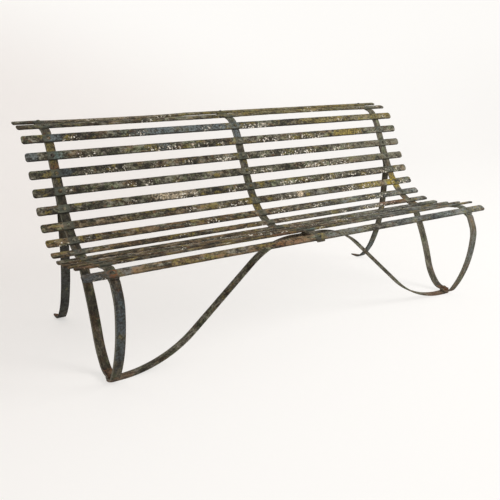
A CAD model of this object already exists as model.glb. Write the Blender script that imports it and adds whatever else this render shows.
"""A weathered wrought iron garden bench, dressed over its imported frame."""
import math
import random
from collections import namedtuple

import bmesh
import bpy
from bmesh.types import BMEdge, BMFace, BMVert
from mathutils import Matrix, Vector, noise


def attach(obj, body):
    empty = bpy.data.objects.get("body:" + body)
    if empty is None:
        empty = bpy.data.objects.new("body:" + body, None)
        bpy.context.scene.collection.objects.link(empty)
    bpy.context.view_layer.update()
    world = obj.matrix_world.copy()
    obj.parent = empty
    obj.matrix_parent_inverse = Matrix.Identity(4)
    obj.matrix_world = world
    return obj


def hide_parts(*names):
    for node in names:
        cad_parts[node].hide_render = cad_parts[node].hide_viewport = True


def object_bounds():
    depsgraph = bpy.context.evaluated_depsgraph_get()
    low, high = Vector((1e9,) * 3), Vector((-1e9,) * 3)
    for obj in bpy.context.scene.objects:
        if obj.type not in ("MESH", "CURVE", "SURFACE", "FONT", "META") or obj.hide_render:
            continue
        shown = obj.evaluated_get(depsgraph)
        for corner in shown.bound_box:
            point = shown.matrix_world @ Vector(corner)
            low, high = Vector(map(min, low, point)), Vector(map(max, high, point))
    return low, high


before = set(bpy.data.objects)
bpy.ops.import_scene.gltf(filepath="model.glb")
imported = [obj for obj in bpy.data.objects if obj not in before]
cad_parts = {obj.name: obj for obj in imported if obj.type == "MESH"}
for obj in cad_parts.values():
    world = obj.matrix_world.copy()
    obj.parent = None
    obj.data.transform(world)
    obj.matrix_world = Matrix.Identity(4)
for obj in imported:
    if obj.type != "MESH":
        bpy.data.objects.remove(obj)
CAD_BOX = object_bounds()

MM = 0.001

# The forged pieces' sizes, in millimetres and degrees, as in the part's source
BENCH_LENGTH = 1900
FRAME_X = 846
BAR_WIDTH, BAR_THICK = 37, 7
SLAT_WIDTH, SLAT_EDGE, SLAT_CROWN, SLAT_CORNER = 35, 6, 8.5, 10
SLAT_PITCH, SEAT_FLAT = 72.5, 40
SLAT_TILTS = [0, 14, 51, 64, 62, 62, 58, 47, 33, 13, -3, -12, -14, -11, 26]
STRETCHER_Y, STRETCHER_TOP = -301.61, 421.594
STRETCHER_SLOPE, STRETCHER_ARM = 41.4497, 338.754
FOOT_Y = -294.86
RIVET_SHANK, RIVET_HEAD, RIVET_HEAD_HEIGHT = 10, 17, 4
RIVET_TAIL, RIVET_TAIL_HEIGHT = 15, 3.5
FOOT_RIVET_SHANK, FOOT_RIVET_HEAD, FOOT_RIVET_HEIGHT = 12, 23, 10

# The slats by their numbers, the ones whose end rivets hold a leg or strut, and the one over the stretcher
SLATS = range(1, len(SLAT_TILTS) + 1)
LEG_SLATS = (5, 6, 10, 15)
STRETCHER_SLAT = 14

# Slats that have been leaned on: degrees that they have turned forward on their rivets
SLAT_LEAN = {1: 9, 2: 2, 11: 4, 12: 2}

# Slats that are bent between two of their rivets: middle and half length, and how far outward
SLAT_BEND = {1: (-520, 340, -4), 2: (423, 423, 4)}

# Where the top coat has flaked off each slat: middle and half length along it, in metres
FLAKED = {
    1: [(-0.62, 0.02), (-0.3, 0.03)],
    3: [(-0.744, 0.012), (-0.474, 0.03), (-0.15, 0.01), (0.106, 0.05)],
    4: [(-0.711, 0.026), (-0.414, 0.027), (-0.331, 0.023), (-0.2, 0.034), (0.173, 0.039), (0.34, 0.065),
        (0.44, 0.02)],
    5: [(-0.714, 0.01), (-0.635, 0.014), (-0.58, 0.01), (-0.417, 0.02), (-0.276, 0.01), (-0.108, 0.036),
        (0.1, 0.014), (0.3, 0.097), (0.53, 0.012), (0.6, 0.015)],
    6: [(-0.554, 0.012), (-0.484, 0.01), (0.069, 0.057), (0.387, 0.09), (0.51, 0.08)],
    7: [(-0.464, 0.012), (-0.338, 0.023), (-0.3, 0.026), (-0.092, 0.021), (0.255, 0.089), (0.46, 0.06),
        (0.57, 0.03), (0.68, 0.03), (0.83, 0.05)],
    8: [(-0.323, 0.014), (-0.184, 0.012), (-0.088, 0.034), (0.177, 0.045), (0.6, 0.1), (0.87, 0.04)],
    9: [(-0.248, 0.022), (0.097, 0.038), (0.302, 0.021), (0.664, 0.066)],
    10: [(0.58, 0.07)],
    12: [(-0.2, 0.05), (0.107, 0.019)],
    13: [(-0.15, 0.06)],
}
FLAKE_FADE = 0.02

HALF_BAR, HALF_SLAT = BAR_WIDTH / 2, SLAT_WIDTH / 2

# Faces: the length of their rings, the most that a ring turns in a bend, and the width of a slat's lanes
RING, RING_TURN, SLAT_LANE = 12, 7, 6

# A bar's rounded end: the ring that it is cut from, its radius, which leaves a sliver of the end face, and
# how near to the end's corners the edges lie that are rounded
END_RING, END_RADIUS, END_SEGMENTS, END_NEAR = HALF_BAR + 1, HALF_BAR - 0.1, 8, 0.5

# How wide the arrises are broken, and how sharp an edge is that counts as an arris or shades as a crease
ARRIS, SLAT_ARRIS, WEDGE_ARRIS = 1.3, 1.2, 0.8
SHARP, CREASE = 40, 50

# A rear leg's toe: how far before its end it starts to narrow and to thin, how high a point of it may lie,
# and the shares of its width and thickness that are left at its tip
TOE_RUN, TOE_THIN_RUN, TOE_HEIGHT = 34, 22, 20
TOE_WIDTH_LEFT, TOE_THICKNESS_LEFT = 0.3, 0.5

# Rivets: how far a head is sunk in a slat's crown, how high the heads' rims are, and how far above the floor
# the ones in the feet start
RIVET_SUNK, RIVET_RIM = 1.2, 0.4
FOOT_RIVET_START, FOOT_RIVET_RIM = 0.5, 0.6

# The stretcher's wedge: its side, how far it is sunk in the stretcher, and its gap to the strap above
WEDGE_SIDE, WEDGE_SUNK, WEDGE_GAP = BAR_WIDTH - 1, 4, 0.05


# Places along a bar, which runs forward and down by its tilt

def heading(tilt):
    return Vector((0, -math.cos(math.radians(tilt)), -math.sin(math.radians(tilt))))


def outward(tilt):
    return Vector((0, -math.sin(math.radians(tilt)), math.cos(math.radians(tilt))))


def take_step(place, tilt, step):
    """The end of one step of a bar, its tilt there, and the centre of the bend, if it is one."""
    if len(step) == 1:
        return place + heading(tilt) * step[0], tilt, None
    radius, goal = step
    reach = radius * math.copysign(1, goal - tilt)
    centre = place - outward(tilt) * reach
    return centre + outward(goal) * reach, goal, centre


def bar_end(start, tilt, steps):
    """Where a bar ends, and its tilt there."""
    place = Vector((0, *start))
    for step in steps:
        place, tilt, _ = take_step(place, tilt, step)
    return place, tilt


def strap_steps():
    """The frame strap is flat under every slat and bent between them."""
    steps = [[SEAT_FLAT / 2]]
    link = SLAT_PITCH - SEAT_FLAT
    for tilt, goal in zip(SLAT_TILTS, SLAT_TILTS[1:]):
        turn = math.radians(abs(goal - tilt))
        steps += [[link / turn, goal] if turn else [link], [SEAT_FLAT]]
    return steps


# Each bar: where it starts in Y and Z, its tilt there, its steps (a straight length, or a bend's radius and
# the tilt that it ends at), whether its last end is rounded as its first is, and its hammer marks' seed
Bar = namedtuple("Bar", "start tilt steps round_end seed")
STRAP = Bar((414.901, 826.059), SLAT_TILTS[0], strap_steps(), False, 1)
FRONT_LEG_STEPS = [[20], [22.5, 63], [33.481], [116, 90], [520, 123.203], [42, 180], [15]]
FRONT_LEG = Bar((-373.897, 415.526), 26, FRONT_LEG_STEPS, True, 11)
STRUT_STEPS = [[13], [37, 56], [1060.58, 71], [220, 43], [60, 0], [30.147]]
STRUT = Bar((-21.2636, 388.955), 13, STRUT_STEPS, False, 21)
REAR_LEG_STEPS = [[92.5], [60, 92], [162.392], [700, 114], [300, 137], [58, 180], [22]]
REAR_LEG = Bar((218.88, 650.98), 62, REAR_LEG_STEPS, True, 31)

# The stretcher is drawn from the left foot to the right one as if the bench's length were Y
UP, LEVEL, DOWN = 180 + STRETCHER_SLOPE, 180, 180 - STRETCHER_SLOPE
STRETCHER_STEPS = [[27], [460, UP], [STRETCHER_ARM], [300, LEVEL], [124], [300, DOWN], [STRETCHER_ARM],
                   [460, LEVEL], [27]]
STRETCHER = Bar((-FRAME_X, BAR_THICK / 2), LEVEL, STRETCHER_STEPS, True, 91)


def slat_seats():
    """The middle of each slat's underside, and its tilt."""
    seats = []
    for number in range(len(SLATS)):
        run = STRAP.steps[: 2 * number]
        if number:
            run.append([SEAT_FLAT / 2])
        point, tilt = bar_end(STRAP.start, STRAP.tilt, run)
        seats.append((point + outward(tilt) * BAR_THICK / 2, tilt))
    return seats


SEATS = slat_seats()


def at_slat(number, x=0):
    point, tilt = SEATS[number - 1]
    return Matrix.Translation((x, point.y, point.z)) @ Matrix.Rotation(math.radians(tilt), 4, "X")


# Shop tools

def pick(geometry, kind):
    return [item for item in geometry if isinstance(item, kind)]


def turn_round(bm, geometry, centre, axis, degrees, steps, merge=False):
    """Spins geometry round an axis, and gives what comes last."""
    return bmesh.ops.spin(bm, geom=geometry, cent=centre, axis=axis, dvec=(0, 0, 0),
                          angle=math.radians(degrees), steps=steps, use_merge=merge,
                          use_normal_flip=False, use_duplicate=False)["geom_last"]


def cut_through(bm, place, normal):
    geometry = bm.verts[:] + bm.edges[:] + bm.faces[:]
    bmesh.ops.bisect_plane(bm, geom=geometry, plane_co=place, plane_no=normal, dist=1e-4)


def round_edges(bm, edges, radius, segments):
    bmesh.ops.bevel(bm, geom=edges, offset=radius, offset_type="OFFSET", affect="EDGES",
                    segments=segments, profile=0.5, material=-1, clamp_overlap=True)


def break_arrises(bm, width):
    bmesh.ops.recalc_face_normals(bm, faces=bm.faces)
    inner = [edge for edge in bm.edges if len(edge.link_faces) == 2]
    round_edges(bm, [edge for edge in inner if math.degrees(edge.calc_face_angle(0)) > SHARP], width, 2)


# Hammer marks: the steps between two pieces in the noise, the dents' size and depth, how far they sink the
# face (on a rivet as a share of their depth), and the chips' size, the noise that starts them and their depth
Blows = namedtuple("Blows", "stride dent_size dent_depth sink chip_size chip_from chip_depth")
BAR_BLOWS = Blows((17.3, 5.1, 9.7), 38, 0.21, 0.105, 15, 0.15, 0.5)
SLAT_BLOWS = Blows((31.7, 3.3, 11.9), 30, 0.3, 0.12, 13, 0.1, 1.3)
RIVET_STRIDE, RIVET_DENT_SIZE, RIVET_SINK = (7.7, 3.1, 1.3), 5, 0.4


def own_noise(seed, stride):
    """A piece's own place in the noise, so that no two pieces are alike."""
    return Vector([seed * step for step in stride])


def hammer(bm, seed, blows, chipped):
    """Moves the faces a little in and out, and chips each point by what is asked for there, 0 to 1."""
    bm.normal_update()
    shift = own_noise(seed, blows.stride)
    for vert in bm.verts:
        swell = noise.noise(vert.co / blows.dent_size + shift) * blows.dent_depth - blows.sink
        chip = max(0, noise.noise(vert.co / blows.chip_size + shift * 2) - blows.chip_from)
        vert.co += vert.normal * (swell - chip * blows.chip_depth * chipped(vert))


def finish_piece(bm, name, node, material, matrix=Matrix.Identity(4), places=None):
    """Turns millimetres of bmesh into a piece in the bench's frame, inside the CAD's box."""
    bmesh.ops.recalc_face_normals(bm, faces=bm.faces)
    mesh = bpy.data.meshes.new(name)
    for face in bm.faces:
        face.smooth = True
    for edge in bm.edges:
        edge.smooth = len(edge.link_faces) != 2 or math.degrees(edge.calc_face_angle(0)) < CREASE
    bm.to_mesh(mesh)
    bm.free()
    if places:
        layer = mesh.attributes.new("bar_place", "FLOAT_VECTOR", "POINT")
        for item, place in zip(layer.data, places):
            item.vector = place
    mesh.transform(Matrix.Scale(MM, 4) @ matrix)
    for vert in mesh.vertices:
        vert.co = [max(low, min(high, c)) for c, low, high in zip(vert.co, *CAD_BOX)]
    piece = bpy.data.objects.new(name, mesh)
    bpy.context.scene.collection.objects.link(piece)
    mesh.materials.append(material)
    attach(piece, "root")
    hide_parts(node)


# Bars: a section swept along its steps, its ends rounded, its arrises broken and its faces hammered

def rim_of(faces):
    """The edges and points of some faces, each one once."""
    edges = list(dict.fromkeys(edge for face in faces for edge in face.edges))
    verts = list(dict.fromkeys(vert for face in faces for vert in face.verts))
    return edges, verts


def draw_on(bm, last, way, lengths):
    """Draws a bar out from its last face, ring by ring."""
    for length in lengths:
        last = pick(bmesh.ops.extrude_face_region(bm, geom=last)["geom"], BMFace)
        bmesh.ops.translate(bm, verts=rim_of(last)[1], vec=way * length)
    return last


def bend_on(bm, last, centre, radius, turn):
    """Bends a bar on from its last face, ring by ring."""
    arc = math.radians(abs(turn)) * radius
    count = max(2, math.ceil(arc / RING), math.ceil(abs(turn) / RING_TURN))
    edges, verts = rim_of(last)
    return pick(turn_round(bm, last + edges + verts, centre, (1, 0, 0), turn, count), BMFace)


def ring_lengths(length, first, last):
    """Shares out a straight length evenly between its first and its last ring, if they have their own."""
    rest = length - first - last
    count = max(1, round(rest / RING))
    return [size for size in (first, *[rest / count] * count, last) if size]


def sweep_bar(bar):
    """A flat bar in the plane of Y and Z, longer by half its width at each rounded end."""
    steps = [list(step) for step in bar.steps]
    steps[0][0] += HALF_BAR
    if bar.round_end:
        steps[-1][0] += HALF_BAR
    tilt = bar.tilt
    place = Vector((0, *bar.start)) - heading(tilt) * HALF_BAR
    bm = bmesh.new()
    section = Matrix((Vector((BAR_WIDTH, 0, 0)), outward(tilt) * BAR_THICK, heading(tilt))).transposed()
    where = Matrix.Translation(place) @ section.to_4x4()
    bmesh.ops.create_grid(bm, x_segments=1, y_segments=1, size=0.5, matrix=where)
    last = list(bm.faces)
    for number, step in enumerate(steps):
        ahead, goal, centre = take_step(place, tilt, step)
        if centre is None:
            first_ring = END_RING if number == 0 else 0
            last_ring = END_RING if bar.round_end and number == len(steps) - 1 else 0
            last = draw_on(bm, last, heading(tilt), ring_lengths(step[0], first_ring, last_ring))
        else:
            last = bend_on(bm, last, centre, step[0], goal - tilt)
        place, tilt = ahead, goal
    return bm


def round_ends(bm, bar):
    """Rounds the edges that run through the thickness at the corners of a bar's ends."""
    middles = [Vector((0, *bar.start)) - heading(bar.tilt) * HALF_BAR]
    if bar.round_end:
        end, end_tilt = bar_end(bar.start, bar.tilt, bar.steps)
        middles.append(end + heading(end_tilt) * HALF_BAR)
    corners = [Vector((x, middle.y, middle.z)) for middle in middles for x in (-HALF_BAR, HALF_BAR)]
    found = []
    for edge in bm.edges:
        middle = (edge.verts[0].co + edge.verts[1].co) / 2
        if any((middle - corner).length < END_NEAR for corner in corners):
            found.append(edge)
    round_edges(bm, found, END_RADIUS, END_SEGMENTS)


def draw_out_toe(bm, end):
    """Draws a rear leg's last stretch out to a narrow and thin tip, straight on its left side."""
    for vert in bm.verts:
        if vert.co.z < TOE_HEIGHT and vert.co.y > end.y - TOE_RUN:
            share = min(1, (vert.co.y - end.y + TOE_RUN) / (TOE_RUN + HALF_BAR))
            vert.co.x = (vert.co.x + HALF_BAR) * (1 - (1 - TOE_WIDTH_LEFT) * share) - HALF_BAR
            if vert.co.y > end.y - TOE_THIN_RUN:
                vert.co.z *= 1 - (1 - TOE_THICKNESS_LEFT) * share


def bar_chips(vert):
    """A bar chips only at its arrises, where its faces turn away from each other."""
    return vert.calc_shell_factor() > 1.05


def forge_bar(bar, name, matrix, material, number=0):
    bm = sweep_bar(bar)
    round_ends(bm, bar)
    break_arrises(bm, ARRIS)
    hammer(bm, bar.seed + number, BAR_BLOWS, bar_chips)
    if bar is REAR_LEG:
        draw_out_toe(bm, bar_end(bar.start, bar.tilt, bar.steps)[0])
    across = [(0, vert.co.x / HALF_BAR, 0) for vert in bm.verts]
    finish_piece(bm, name + "_iron", name, material, matrix, across)


def forge_frame(material, rear_material):
    for number, (side, x) in enumerate((("left", -FRAME_X), ("centre", 0), ("right", FRAME_X))):
        there = Matrix.Translation((x, 0, 0))
        forge_bar(STRAP, side + "_frame_strap", there, material, number)
        if x:
            forge_bar(FRONT_LEG, side + "_front_leg", there, material, number)
            forge_bar(STRUT, side + "_front_strut", there, material, number)
            forge_bar(REAR_LEG, side + "_rear_leg", there, rear_material, number)


def forge_stretcher(material):
    """One arched bar from foot to foot, and the wedge that levels it under the middle strap."""
    turn = Matrix.Translation((0, STRETCHER_Y, 0)) @ Matrix.Rotation(math.radians(-90), 4, "Z")
    forge_bar(STRETCHER, "stretcher", turn, material)
    bm = bmesh.new()
    size = Matrix.Diagonal((WEDGE_SIDE, WEDGE_SIDE, 2 * WEDGE_SUNK, 1))
    bmesh.ops.create_cube(bm, size=1, matrix=Matrix.Translation((0, STRETCHER_Y, STRETCHER_TOP)) @ size)
    point, tilt = SEATS[STRETCHER_SLAT - 1]
    seat = point - outward(tilt) * (BAR_THICK + WEDGE_GAP)
    for vert in bm.verts:
        if vert.co.z > STRETCHER_TOP:
            vert.co.z = seat.z + (vert.co.y - seat.y) * math.tan(math.radians(tilt))
    break_arrises(bm, WEDGE_ARRIS)
    finish_piece(bm, "stretcher_wedge_iron", "stretcher", material)


# Slats

def slat_blank():
    """A slat in its own frame: rounded corners, broken arrises and a crowned upper face."""
    bm = bmesh.new()
    size = Matrix.Diagonal((BENCH_LENGTH, SLAT_WIDTH, SLAT_EDGE, 1))
    bmesh.ops.create_cube(bm, size=1, matrix=Matrix.Translation((0, 0, SLAT_EDGE / 2)) @ size)
    upright = [edge for edge in bm.edges if abs(edge.verts[0].co.z - edge.verts[1].co.z) > 1]
    round_edges(bm, upright, SLAT_CORNER, 6)
    break_arrises(bm, SLAT_ARRIS)
    rings = int((BENCH_LENGTH / 2 - SLAT_CORNER) / RING)
    for i in range(-rings, rings + 1):
        cut_through(bm, (i * RING, 0, 0), (1, 0, 0))
    for i in range(-2, 3):
        cut_through(bm, (0, i * SLAT_LANE, 0), (0, 1, 0))
    for vert in bm.verts:
        if vert.co.z > SLAT_EDGE / 2:
            vert.co.z += (SLAT_CROWN - SLAT_EDGE) * (1 - (vert.co.y / HALF_SLAT) ** 2)
    mesh = bpy.data.meshes.new("slat_blank")
    bm.to_mesh(mesh)
    bm.free()
    return mesh


def slat_chips(vert):
    """A slat chips along its two long arrises, and less at its rounded corners."""
    at_arris = abs(vert.co.y) / HALF_SLAT > 0.9
    at_corner = abs(vert.co.x) > BENCH_LENGTH / 2 - SLAT_CORNER
    return at_arris * (0.3 if at_corner else 1)


def flaked_share(number, x):
    """How much of the top coat has flaked off a slat there, from 0 to 1."""
    gone = [1 - max(0, abs(x - middle) - half) / FLAKE_FADE for middle, half in FLAKED.get(number, [])]
    return max([0, *gone])


def bend_slat(bm, number):
    if number in SLAT_BEND:
        middle, half, depth = SLAT_BEND[number]
        for vert in bm.verts:
            vert.co.z += depth * max(0, 1 - ((vert.co.x - middle) / half) ** 4)


def forge_slats(material):
    blank = slat_blank()
    for number in SLATS:
        name = f"slat_{number:02d}"
        bm = bmesh.new()
        bm.from_mesh(blank)
        hammer(bm, number, SLAT_BLOWS, slat_chips)
        bend_slat(bm, number)
        lean = Matrix.Rotation(math.radians(SLAT_LEAN.get(number, 0)), 4, "X")
        spots = [(flat.co.x * MM, flat.co.y / HALF_SLAT) for flat in blank.vertices]
        places = [(along, across, flaked_share(number, along)) for along, across in spots]
        finish_piece(bm, name + "_iron", name, material, at_slat(number) @ lean, places)
    bpy.data.meshes.remove(blank)


# Rivets

def lathe(profile, seed, steps, knock):
    """A turned piece from its half outline, with hammer marks."""
    bm = bmesh.new()
    verts = [bm.verts.new((r, 0, z)) for r, z in profile]
    edges = [bm.edges.new(pair) for pair in zip(verts, verts[1:])]
    turn_round(bm, verts + edges, (0, 0, 0), (0, 0, 1), 360, steps, merge=True)
    bmesh.ops.remove_doubles(bm, verts=bm.verts, dist=0.01)
    bmesh.ops.recalc_face_normals(bm, faces=bm.faces)
    bm.normal_update()
    shift = own_noise(seed, RIVET_STRIDE)
    for vert in bm.verts:
        swell = noise.noise(vert.co / RIVET_DENT_SIZE + shift) * knock - knock * RIVET_SINK
        vert.co += vert.normal * swell
    return bm


def dome(radius, base, top, count):
    """Half outline of a dome from its rim to its crown."""
    turn = [math.radians(90 * i / count) for i in range(count)]
    return [(radius * math.cos(a), base + (top - base) * math.sin(a)) for a in turn] + [(0, top)]


def rivet_outline(bars):
    """Half outline of a rivet through a slat and a number of bars, from its tail to its head."""
    under, rim, shank = -bars * BAR_THICK, SLAT_CROWN - RIVET_SUNK, RIVET_SHANK / 2
    head = dome(RIVET_HEAD / 2, rim + RIVET_RIM, SLAT_CROWN + RIVET_HEAD_HEIGHT, 5)
    tail = dome(RIVET_TAIL / 2, under, under + RIVET_TAIL_HEIGHT, 5)
    tail = [(r, 2 * under - z) for r, z in reversed(tail)]
    return tail + [(shank, under), (shank, rim), (RIVET_HEAD / 2, rim)] + head


def set_rivet(whole, bm, matrix):
    """Puts a rivet in its place among the ones that share its piece."""
    bmesh.ops.transform(bm, matrix=matrix, verts=bm.verts)
    mesh = bpy.data.meshes.new("rivet")
    bm.to_mesh(mesh)
    bm.free()
    whole.from_mesh(mesh)
    bpy.data.meshes.remove(mesh)


def hammer_rivets(name, bars, places, material):
    """A row of rivets through a slat and a number of bars, each a little different, as one piece."""
    whole = bmesh.new()
    rng = random.Random(name)
    for seed, place in enumerate(places):
        bm = lathe(rivet_outline(bars), seed + rng.random(), steps=20, knock=0.25)
        set_rivet(whole, bm, place @ Matrix.Rotation(rng.uniform(0, 6.28), 4, "Z"))
    finish_piece(whole, name + "_iron", name, material)


def set_slat_rivets(material):
    for name, x in (("left", -FRAME_X), ("right", FRAME_X)):
        plain = [at_slat(number, x) for number in SLATS if number not in LEG_SLATS]
        hammer_rivets(name + "_slat_rivets", 1, plain, material)
        hammer_rivets(name + "_leg_rivets", 2, [at_slat(number, x) for number in LEG_SLATS], material)
    centre = [at_slat(number) for number in SLATS if number != STRETCHER_SLAT]
    hammer_rivets("centre_slat_rivets", 1, centre, material)
    hammer_rivets("stretcher_rivet", 2, [at_slat(STRETCHER_SLAT)], material)


def set_foot_rivets(material):
    """A large rivet in each front foot, through strut, leg and stretcher."""
    base, top, shank, head = FOOT_RIVET_START, 3 * BAR_THICK, FOOT_RIVET_SHANK / 2, FOOT_RIVET_HEAD / 2
    outline = [(0, base), (shank, base), (shank, top), (head, top)]
    outline += dome(head, top + FOOT_RIVET_RIM, top + FOOT_RIVET_HEIGHT, 7)
    whole = bmesh.new()
    for seed, x in ((40, -FRAME_X), (41, FRAME_X)):
        set_rivet(whole, lathe(outline, seed, steps=28, knock=0.5), Matrix.Translation((x, FOOT_Y, 0)))
    finish_piece(whole, "foot_rivets_iron", "foot_rivets", material)


# Finishes

def paint(rgb):
    """Linear colour of an sRGB triple of 0 to 255."""
    def lin(c):
        c /= 255
        return c / 12.92 if c <= 0.04045 else ((c + 0.055) / 1.055) ** 2.4
    return (*[lin(c) for c in rgb], 1.0)


class Tone:
    """A value or a colour in a recipe, which takes part in sums."""

    def __init__(self, recipe, socket):
        self.recipe, self.socket = recipe, socket

    def math(self, operation, a, b=0.0):
        return self.recipe.node("ShaderNodeMath", {"operation": operation}, {0: a, 1: b})

    def __add__(self, other):
        return self.math("ADD", self, other)

    __radd__ = __add__

    def __sub__(self, other):
        return self.math("SUBTRACT", self, other)

    def __rsub__(self, other):
        return self.math("SUBTRACT", other, self)

    def __mul__(self, other):
        return self.math("MULTIPLY", self, other)

    __rmul__ = __mul__

    def __abs__(self):
        return self.math("ABSOLUTE", self)

    def most(self, other):
        return self.math("MAXIMUM", self, other)

    def least(self, other):
        return self.math("MINIMUM", self, other)


# The Mix node's sockets for colours
SHARE, UNDER, OVER, MIXED = 0, 6, 7, 2


class Recipe:
    """The nodes of one material or world."""

    def __init__(self, owner):
        self.owner = owner
        owner.use_nodes = True
        self.tree = owner.node_tree
        self.tree.nodes.clear()

    def node(self, kind, settings=None, sockets=None, out=0):
        made = self.tree.nodes.new(kind)
        for name, value in (settings or {}).items():
            if name == "stops":
                self.fill_ramp(made.color_ramp, value)
            else:
                setattr(made, name, value)
        for key, value in (sockets or {}).items():
            if isinstance(value, Tone):
                self.tree.links.new(value.socket, made.inputs[key])
            else:
                made.inputs[key].default_value = value
        return Tone(self, made.outputs[out]) if made.outputs else None

    def fill_ramp(self, ramp, stops):
        while len(ramp.elements) < len(stops):
            ramp.elements.new(1)
        for element, (place, colour) in zip(ramp.elements, stops):
            element.position = place
            element.color = paint(colour)

    def here(self):
        return self.node("ShaderNodeTexCoord", out="Object")

    def place(self, stretch=(1, 1, 1), offset=(0, 0, 0)):
        sockets = {"Vector": self.here(), "Scale": stretch, "Location": offset}
        return self.node("ShaderNodeMapping", {}, sockets)

    def bar_place(self):
        """Along the slat in metres, across the bar or slat from -1 to 1, and how far it has flaked."""
        settings = {"attribute_type": "GEOMETRY", "attribute_name": "bar_place"}
        place = self.node("ShaderNodeAttribute", settings, out="Vector")
        return [self.part(place, axis) for axis in "XYZ"]

    def part(self, vector, axis):
        return self.node("ShaderNodeSeparateXYZ", {}, {0: vector}, out=axis)

    def distance(self, place, middle, reach):
        """How far a place is from a middle, where 1 is the reach."""
        moved = self.node("ShaderNodeVectorMath", {"operation": "SUBTRACT"}, {0: place, 1: middle})
        scaled = self.node("ShaderNodeVectorMath", {"operation": "DIVIDE"}, {0: moved, 1: reach})
        return self.node("ShaderNodeVectorMath", {"operation": "LENGTH"}, {0: scaled}, out="Value")

    def clouds(self, place, scale, detail=3.0, roughness=0.55, warp=0.0):
        sockets = {"Vector": place, "Scale": scale, "Detail": detail, "Roughness": roughness}
        return self.node("ShaderNodeTexNoise", {}, {**sockets, "Distortion": warp})

    def cells(self, place, scale):
        return self.node("ShaderNodeTexVoronoi", {}, {"Vector": place, "Scale": scale})

    def rise(self, value, low, high):
        """From 0 to 1, smoothly, as a value goes from low to high."""
        return self.node("ShaderNodeMapRange", {"interpolation_type": "SMOOTHSTEP"},
                         {"Value": value, "From Min": low, "From Max": high})

    def blend(self, share, under, over, kind="MIX"):
        return self.node("ShaderNodeMix", {"data_type": "RGBA", "blend_type": kind},
                         {SHARE: share, UNDER: self.colour(under), OVER: self.colour(over)}, out=MIXED)

    def tint(self, share, under, over):
        """Takes the hue of a colour, but not its lightness."""
        return self.blend(share, under, over, "COLOR")

    def colour(self, value):
        return value if isinstance(value, Tone) else paint(value)

    def seen(self):
        """1 where the camera or a reflection looks, and 0 where light is gathered."""
        rays = [self.node("ShaderNodeLightPath", out=out) for out in ("Is Camera Ray", "Is Glossy Ray")]
        return rays[0].most(rays[1])


# The paints' colours, from 0 to 255
DARK = (36, 33, 27)
UMBER = (64, 60, 49)
OLIVE = (88, 83, 68)
GREY_GREEN = (110, 107, 91)
PALE = (141, 137, 122)
LICHEN = (140, 124, 62)
YELLOW = (158, 138, 48)
MOSS = (84, 92, 66)
RUST = (110, 70, 42)
ORANGE = (128, 84, 48)
EARTH = (84, 56, 36)
WOOD_BROWN = (120, 92, 58)
SANDY = (150, 132, 104)
BONE = (200, 182, 156)
CHALK = (246, 241, 230)
MAUVE = (110, 92, 104)
BLUE_GREY = (96, 106, 110)
TEAL = (84, 106, 104)
SLATE = (68, 76, 80)
JOINT_DARK, JOINT_PALE = (50, 52, 48), (104, 108, 96)
PAPER_DIM, PAPER_PALE, PAPER_GLOW = (243, 236, 232), (252, 249, 246), (255, 253, 250)
ROOM_SEEN = (247, 244, 241)

# How the ground coat's shades follow its pattern, and how much darker and lighter a stain gets in places
GROUND_STOPS = [(0.08, DARK), (0.34, UMBER), (0.52, OLIVE), (0.68, GREY_GREEN), (0.92, PALE)]
STAIN_SHADES = (0.62, 1.22)

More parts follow.
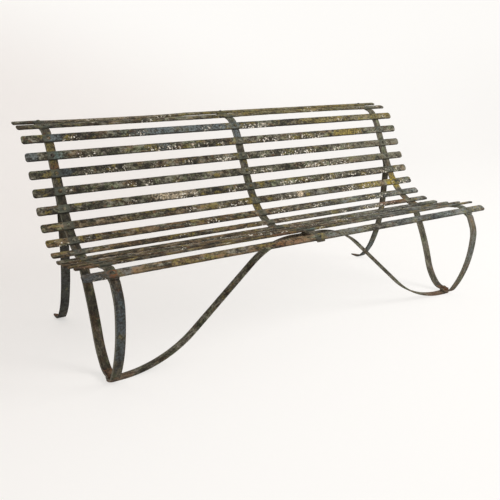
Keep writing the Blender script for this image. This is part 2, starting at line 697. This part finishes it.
# Stains that the paint has taken in certain places: middle and reach in metres, colour, and strength
SLAT_STAINS = [
    ((-0.55, 0.415, 0.835), (0.32, 0.05, 0.03), SANDY, 0.5),
    ((0.1, 0.415, 0.835), (0.4, 0.05, 0.03), LICHEN, 0.4),
    ((0.7, 0.40, 0.835), (0.25, 0.06, 0.03), LICHEN, 0.5),
    ((0.35, 0.36, 0.825), (0.6, 0.06, 0.03), LICHEN, 0.4),
    ((-0.25, 0.278, 0.785), (0.33, 0.04, 0.04), BLUE_GREY, 0.8),
    ((0.62, 0.239, 0.722), (0.12, 0.03, 0.03), LICHEN, 0.8),
    ((0.5, 0.278, 0.785), (0.2, 0.03, 0.03), LICHEN, 0.5),
    ((-0.38, 0.239, 0.722), (0.05, 0.03, 0.03), BLUE_GREY, 0.6),
    ((0.05, 0.172, 0.596), (0.12, 0.03, 0.03), GREY_GREEN, 0.7),
    ((0.78, 0.206, 0.658), (0.3, 0.03, 0.03), GREY_GREEN, 0.65),
    ((0.75, 0.172, 0.596), (0.28, 0.03, 0.03), GREY_GREEN, 0.6),
    ((0.85, 0.278, 0.785), (0.2, 0.04, 0.03), LICHEN, 0.4),
    ((0.66, 0.092, 0.475), (0.1, 0.03, 0.03), YELLOW, 0.6),
    ((-0.82, 0.278, 0.785), (0.035, 0.04, 0.04), BLUE_GREY, 0.7),
    ((-0.82, 0.239, 0.722), (0.03, 0.03, 0.03), TEAL, 0.6),
    ((-0.93, 0.239, 0.722), (0.04, 0.03, 0.03), BLUE_GREY, 0.6),
    ((-0.81, 0.206, 0.658), (0.035, 0.03, 0.03), SLATE, 0.8),
    ((-0.38, 0.136, 0.532), (0.12, 0.03, 0.03), BONE, 0.6),
    ((0.245, 0.096, 0.478), (0.022, 0.03, 0.03), BONE, 1.1),
    ((0.82, 0.092, 0.475), (0.055, 0.03, 0.03), YELLOW, 0.9),
    ((0.73, -0.024, 0.405), (0.12, 0.03, 0.02), RUST, 0.75),
    ((0.0, -0.306, 0.439), (0.05, 0.03, 0.03), TEAL, 0.6),
    ((-0.14, -0.318, 0.439), (0.12, 0.02, 0.03), RUST, 0.6),
    ((-0.92, -0.300, 0.439), (0.05, 0.03, 0.03), RUST, 0.6),
    ((-0.92, -0.380, 0.429), (0.07, 0.04, 0.04), SLATE, 0.75),
    ((-0.845, -0.380, 0.432), (0.02, 0.03, 0.03), RUST, 0.9),
    ((-0.80, -0.380, 0.429), (0.03, 0.04, 0.04), BLUE_GREY, 0.55),
    ((-0.14, -0.385, 0.425), (0.09, 0.02, 0.03), ORANGE, 0.5),
    ((0.12, -0.380, 0.429), (0.12, 0.04, 0.04), BLUE_GREY, 0.6),
    ((0.01, -0.380, 0.429), (0.02, 0.03, 0.03), LICHEN, 0.6),
    ((0.6, -0.380, 0.429), (0.36, 0.04, 0.04), BLUE_GREY, 0.4),
    ((0.6, -0.24, 0.425), (0.3, 0.1, 0.04), BLUE_GREY, 0.3),
]
BAR_STAINS = [
    ((-0.846, 0.25, 0.74), (0.05, 0.07, 0.08), LICHEN, 0.35),
    ((-0.846, 0.22, 0.68), (0.04, 0.03, 0.03), RUST, 0.4),
    ((0.0, 0.06, 0.46), (0.05, 0.06, 0.05), LICHEN, 0.6),
    ((0.0, 0.27, 0.77), (0.05, 0.08, 0.08), BLUE_GREY, 0.7),
    ((0.846, 0.10, 0.48), (0.05, 0.05, 0.05), YELLOW, 0.8),
    ((0.846, -0.02, 0.40), (0.05, 0.05, 0.03), RUST, 0.6),
    ((-0.846, -0.42, 0.22), (0.05, 0.06, 0.2), SLATE, 0.8),
    ((0.846, -0.42, 0.25), (0.05, 0.05, 0.12), BLUE_GREY, 0.4),
    ((0.846, -0.36, 0.40), (0.05, 0.06, 0.06), BLUE_GREY, 0.5),
    ((-0.846, -0.30, 0.01), (0.05, 0.06, 0.03), RUST, 0.5),
    ((0.846, -0.30, 0.01), (0.05, 0.06, 0.03), RUST, 0.7),
]
REAR_LEG_STAINS = [
    ((-0.846, 0.28, 0.2), (0.06, 0.2, 0.25), SLATE, 0.35),
    ((0.846, 0.3, 0.12), (0.06, 0.12, 0.14), BLUE_GREY, 0.6),
    ((-0.846, 0.38, 0.01), (0.05, 0.05, 0.03), RUST, 0.9),
    ((0.846, 0.38, 0.01), (0.05, 0.05, 0.03), RUST, 0.6),
]
STRETCHER_STAINS = [
    ((0.80, -0.30, 0.01), (0.14, 0.05, 0.03), RUST, 0.75),
    ((-0.82, -0.30, 0.01), (0.08, 0.05, 0.03), RUST, 0.5),
    ((-0.12, -0.30, 0.42), (0.14, 0.05, 0.04), RUST, 0.5),
]


def mix_paint(name, stretch, offset):
    """A new recipe with the patterns that every layer of a paint shares."""
    r = Recipe(bpy.data.materials.new(name))
    r.plain, r.long, r.where = r.place(offset=offset), r.place(stretch, offset), r.here()
    r.patches = r.clouds(r.long, 13, 2)
    r.mottle = r.clouds(r.long, 62, 3, 0.6, 0.4)
    r.grain = r.clouds(r.plain, 130, 3, 0.7)
    r.fine = r.clouds(r.long, 260, 2)
    return r


def ground_coat(r, lift, slope, contrast):
    """Faded oil paint, from soot through olive to grey-green, lighter by the slope towards the right."""
    light = (r.patches * 1.1 + r.mottle * 1.9 + r.grain * 1.35 + r.fine * 0.65 - 2.5) * contrast + 0.5
    light = light + r.part(r.where, "X") * slope + lift
    return r.node("ShaderNodeValToRGB", {"stops": GROUND_STOPS}, {0: light})


def brush_hues(r, colour, brown):
    """Brown, mossy and mauve hues that old coats leave, at an unchanged lightness."""
    browned = r.rise(r.clouds(r.long, 27, 3), 0.6 - brown * 0.16, 0.68 - brown * 0.1)
    mossy = r.rise(r.clouds(r.long, 33, 3, 0.5, 0.5), 0.52, 0.62)
    faded = r.rise(r.clouds(r.plain, 70, 2), 0.55, 0.63)
    colour = r.tint(browned * 0.55, colour, WOOD_BROWN)
    colour = r.tint(mossy * 0.5, colour, MOSS)
    return r.tint(faded * 0.28, colour, MAUVE)


def warm_seat(r, colour, seat):
    """Long brown streaks, where the seat is worn and the grain of the brush shows."""
    streaks = r.clouds(r.place((0.12, 1, 1)), 75, 3, 0.6)
    worn = seat * (1 - r.rise(r.part(r.where, "X") + r.patches * 0.6 - 0.3, -0.1, 0.5) * 0.85)
    colour = r.tint(r.rise(streaks, 0.4, 0.56) * worn * 0.75, colour, WOOD_BROWN)
    colour = r.tint((seat - worn) * r.rise(streaks, 0.46, 0.56) * 0.7, colour, BLUE_GREY)
    return r.blend(r.rise(streaks, 0.56, 0.68) * seat * 0.4, colour, SANDY)


def grow_lichen(r, colour, lichen):
    grown = r.rise(r.clouds(r.long, 24, 3), 0.66 - lichen * 0.14, 0.74 - lichen * 0.1)
    return r.blend(grown * r.rise(r.grain, 0.38, 0.56) * 0.7, colour, LICHEN)


def rust_through(r, colour, rust):
    """Rust where the paint is gone: the colour, and where it is."""
    bare = r.rise(r.clouds(r.plain, 30, 4, 0.6, 0.4), 0.68 - rust * 0.13, 0.74 - rust * 0.1)
    bare = bare * r.rise(r.mottle, 0.35, 0.55)
    return r.blend(bare * 0.75, colour, r.blend(r.rise(r.fine, 0.4, 0.6), EARTH, RUST)), bare


def lay_stains(r, colour, stains):
    """Stains with ragged edges, thin and thick in turn, and lighter and darker from place to place."""
    ragged = r.clouds(r.plain, 55, 3) * 1.6 - 0.8
    broken = r.rise(r.grain + r.mottle, 0.8, 1.15) * 0.85 + 0.25
    light = r.rise(r.fine * 0.6 + r.grain, 0.55, 1.05)
    for middle, reach, shade, strength in stains:
        mask = 1 - r.rise(r.distance(r.where, middle, reach) + ragged, 0.45, 1.05)
        tones = [tuple(min(255, c * share) for c in shade) for share in STAIN_SHADES]
        colour = r.blend(mask * broken * strength, colour, r.blend(light, *tones))
    return colour


def wear_arrises(r, colour, across, arrises):
    """Colours the lower or left arris and the other one, each in its own shade and strength."""
    ragged = r.grain * 0.3
    for side, edge, (shade, strength) in ((0 - across, 0.88, arrises[0]), (across, 0.96, arrises[1])):
        colour = r.blend(r.rise(side + ragged, edge, edge + 0.18) * strength, colour, shade)
    return colour


def flake_mask(r, across, flaked):
    """Ragged specks of undercoat, close together where a slat has flaked and sparse elsewhere."""
    specks = r.rise(r.clouds(r.plain, 118, 2, 0.5) + r.part(r.where, "X") * 0.014, 0.58, 0.622)
    loose = r.rise(r.clouds(r.plain, 14, 2), 0.572, 0.66) * 0.6
    lower = r.rise(0 - across + r.grain * 1.4, 0.1, 0.9)
    return specks * r.rise(loose.most(flaked) * (r.mottle + 0.5), 0.3, 0.7) * lower


def join_straps(r, colour, flake, along):
    """The slats' tone over the straps, where the paint was laid thicker and flakes less."""
    aside = abs(along)
    close = aside.least(abs(aside - FRAME_X * MM)) + r.grain * 0.012
    joint = 1 - r.rise(close, 0.022, 0.032)
    colour = r.blend(joint * 0.7, colour, r.blend(r.mottle, JOINT_DARK, JOINT_PALE))
    return colour, flake * (1 - joint * 0.8)


def pit_mask(r):
    return (1 - r.rise(r.cells(r.plain, 125), 0.12, 0.34)) * r.rise(r.clouds(r.plain, 40, 2), 0.45, 0.56)


def paint_surface(r, colour, height):
    """Dull and uneven paint, where a height of 1 stands 1.6 mm proud."""
    bump = r.node("ShaderNodeBump", {}, {"Height": height, "Distance": 0.0016, "Strength": 1.0})
    roughness = 0.74 + r.grain * 0.25
    sockets = {"Base Color": colour, "Roughness": roughness, "Specular IOR Level": 0.3, "Normal": bump}
    r.node("ShaderNodeOutputMaterial", {}, {"Surface": r.node("ShaderNodeBsdfPrincipled", {}, sockets)})
    return r.owner


def old_paint(name, stretch=(0.5, 1, 1), lift=0.0, slope=0.0, contrast=1.0, brown=0.5, rust=0.5, lichen=0.5,
              stains=(), arrises=None, offset=(0, 0, 0)):
    """Old oil paint on iron: soot to grey-green, with lichen, rust and pits.

    Lift makes it lighter all over and slope towards the right; brown, rust and lichen say how much there is.
    """
    r = mix_paint(name, stretch, offset)
    colour = grow_lichen(r, brush_hues(r, ground_coat(r, lift, slope, contrast), brown), lichen)
    colour, bare = rust_through(r, colour, rust)
    colour = lay_stains(r, colour, stains)
    if arrises:
        colour = wear_arrises(r, colour, r.bar_place()[1], arrises)
    pits = pit_mask(r)
    colour = r.blend(pits * 0.6, colour, DARK)
    return paint_surface(r, colour, r.mottle * 0.6 + r.grain * 0.5 - pits * 0.5 - bare * 0.4)


def slat_paint(name):
    """The slats' paint: the same coats, brown streaks on the seat, and flakes down to a chalky undercoat."""
    r = mix_paint(name, (0.65, 1, 1), (0, 0, 0))
    along, across, flaked = r.bar_place()
    seat = 1 - r.rise(r.part(r.where, "Z"), 0.44, 0.52)
    top = r.rise(r.part(r.where, "Z"), 0.79, 0.81)
    colour = brush_hues(r, ground_coat(r, seat * 0.06 + top * 0.05 - 0.005, 0.085, 1.15), 0.55)
    colour = grow_lichen(r, warm_seat(r, colour, seat), 0.85)
    colour, bare = rust_through(r, colour, 0.5)
    colour, flake = join_straps(r, colour, flake_mask(r, across, flaked), along)
    colour = lay_stains(r, colour, SLAT_STAINS)
    colour = wear_arrises(r, colour, across, [(DARK, 0.85 - seat * 0.45 - top * 0.5), (DARK, 0.3)])
    pits = pit_mask(r).most(flaked * r.rise(r.clouds(r.plain, 150, 2), 0.5, 0.6) * 0.7)
    colour = r.blend(pits * 0.75, colour, DARK)
    colour = r.blend(flake * 0.95, colour, r.blend(r.rise(r.fine, 0.4, 0.56), BONE, CHALK))
    return paint_surface(r, colour, r.mottle * 0.6 + r.grain * 0.5 - pits * 0.5 + flake * 0.4 - bare * 0.4)


def paper_sweep(name):
    """White paper, which the camera sees a little brighter than the lamps make it."""
    r = Recipe(bpy.data.materials.new(name))
    x, y, z = [r.part(r.here(), axis) for axis in "XYZ"]
    tone = r.rise(x * 0.45 - y * 0.5 + z * 1.35, -1.2, 0.7)
    bump = r.node("ShaderNodeBump", {}, {"Height": r.clouds(r.place(), 40, 2), "Distance": 0.0002})
    sheet = {"Base Color": r.blend(tone, PAPER_DIM, PAPER_PALE), "Roughness": 0.95, "Normal": bump}
    lit = r.node("ShaderNodeBsdfPrincipled", {}, sheet)
    glow = r.node("ShaderNodeEmission", {}, {"Color": paint(PAPER_GLOW)})
    wall = r.rise(z, 0.1, 1.5) * tone
    share = r.seen() * (tone * 0.4 + wall * 0.13 + 0.42)
    both = r.node("ShaderNodeMixShader", {}, {0: share, 1: lit, 2: glow})
    r.node("ShaderNodeOutputMaterial", {}, {"Surface": both})
    return r.owner


# Studio

# The paper: its half width, where its floor starts and ends in Y, and its curve's radius and wall's height
SWEEP_HALF, SWEEP_FRONT, SWEEP_BACK, SWEEP_RADIUS, SWEEP_WALL = 9, -7, 2.4, 1.6, 4

# The photograph's camera, solved from the slat ends: its place, its yaw, pitch and roll, and its lens, whose
# length is given in pixels of a frame 500 pixels wide
CAMERA_PLACE = (-1.5148, -2.3127, 1.1619)
CAMERA_TURN = (31.741, -17.97, 0.584)
LENS_PIXELS, FRAME_PIXELS, SENSOR = 650.2, 500, 36


def lay_sweep(material):
    """A paper floor that curves up into a back wall."""
    bm = bmesh.new()
    ends = [bm.verts.new((x, SWEEP_FRONT, 0)) for x in (-SWEEP_HALF, SWEEP_HALF)]
    grown = bmesh.ops.extrude_edge_only(bm, edges=[bm.edges.new(ends)])["geom"]
    moved = pick(grown, BMVert)
    bmesh.ops.translate(bm, verts=moved, vec=(0, SWEEP_BACK - SWEEP_FRONT, 0))
    centre = (0, SWEEP_BACK, SWEEP_RADIUS)
    last = turn_round(bm, moved + pick(grown, BMEdge), centre, (1, 0, 0), 90, 24)
    grown = bmesh.ops.extrude_edge_only(bm, edges=pick(last, BMEdge))["geom"]
    bmesh.ops.translate(bm, verts=pick(grown, BMVert), vec=(0, 0, SWEEP_WALL))
    bmesh.ops.recalc_face_normals(bm, faces=bm.faces)
    for face in bm.faces:
        face.smooth = True
    mesh = bpy.data.meshes.new("paper_sweep")
    bm.to_mesh(mesh)
    bm.free()
    floor = bpy.data.objects.new("paper_sweep", mesh)
    bpy.context.scene.collection.objects.link(floor)
    mesh.materials.append(material)


def hang_lamp(name, place, aim, size, power):
    lamp = bpy.data.lights.new(name, "AREA")
    lamp.shape, lamp.size, lamp.energy = "DISK", size, power
    holder = bpy.data.objects.new(name, lamp)
    bpy.context.scene.collection.objects.link(holder)
    holder.location = place
    holder.rotation_euler = (Vector(aim) - Vector(place)).to_track_quat("-Z", "Y").to_euler()


def light_room(strength):
    """An even room light, which the camera sees as pale as the paper."""
    world = bpy.data.worlds.new("room")
    bpy.context.scene.world = world
    r = Recipe(world)
    room = r.node("ShaderNodeBackground", {}, {"Color": (1.0, 0.985, 0.965, 1), "Strength": strength})
    pale = r.node("ShaderNodeBackground", {}, {"Color": paint(ROOM_SEEN)})
    both = r.node("ShaderNodeMixShader", {}, {0: r.seen(), 1: room, 2: pale})
    r.node("ShaderNodeOutputWorld", {}, {"Surface": both})


def place_camera():
    """The photograph's view: 2.3 m in front, 1.5 m to the left and 1.16 m up."""
    yaw, pitch, roll = (math.radians(a) for a in CAMERA_TURN)
    look = Vector((math.sin(yaw) * math.cos(pitch), math.cos(yaw) * math.cos(pitch), math.sin(pitch)))
    level = Vector((math.cos(yaw), -math.sin(yaw), 0))
    rise = level.cross(look)
    across = level * math.cos(roll) + rise * math.sin(roll)
    up = rise * math.cos(roll) - level * math.sin(roll)
    lens = bpy.data.cameras.new("camera")
    lens.sensor_width, lens.lens = SENSOR, SENSOR * LENS_PIXELS / FRAME_PIXELS
    camera = bpy.data.objects.new("camera", lens)
    bpy.context.scene.collection.objects.link(camera)
    turn = Matrix((across, up, -look)).transposed().to_4x4()
    camera.matrix_world = Matrix.Translation(CAMERA_PLACE) @ turn
    bpy.context.scene.camera = camera


place_camera()
light_room(strength=0.62)
hang_lamp("soft_box", place=(3.2, -2.6, 3.4), aim=(0.2, 0, 0.4), size=2.6, power=150)
lay_sweep(paper_sweep("backdrop_paper"))

forge_slats(slat_paint("slat_paint"))
bar_paint = old_paint("bar_paint", (1, 0.5, 0.5), lift=-0.08, slope=0.13, contrast=0.6, stains=BAR_STAINS,
                      rust=0.4, lichen=0.3, arrises=[(PALE, 0.4), (EARTH, 0.55)], offset=(3, 1, 2))
rear_leg_paint = old_paint("rear_leg_paint", (1, 0.5, 0.5), lift=-0.16, slope=0.04, contrast=0.4,
                           stains=REAR_LEG_STAINS, brown=0.0, rust=0.3, lichen=0.0,
                           arrises=[(DARK, 0.4), (DARK, 0.4)], offset=(2, 6, 5))
forge_frame(bar_paint, rear_leg_paint)
forge_stretcher(old_paint("stretcher_paint", lift=0.12, slope=0.1, contrast=0.85, stains=STRETCHER_STAINS,
                          brown=0.2, lichen=0.2, arrises=[(DARK, 0.3), (DARK, 0.3)], offset=(5, 2, 1)))
set_slat_rivets(old_paint("rivet_paint", (1, 1, 1), lift=-0.02, rust=0.6, lichen=0.5, offset=(7, 3, 2)))
set_foot_rivets(old_paint("rusty_rivet", (1, 1, 1), lift=0.08, rust=3.5, lichen=0.0, offset=(9, 1, 4)))

bpy.context.scene.view_settings.view_transform = "Standard"
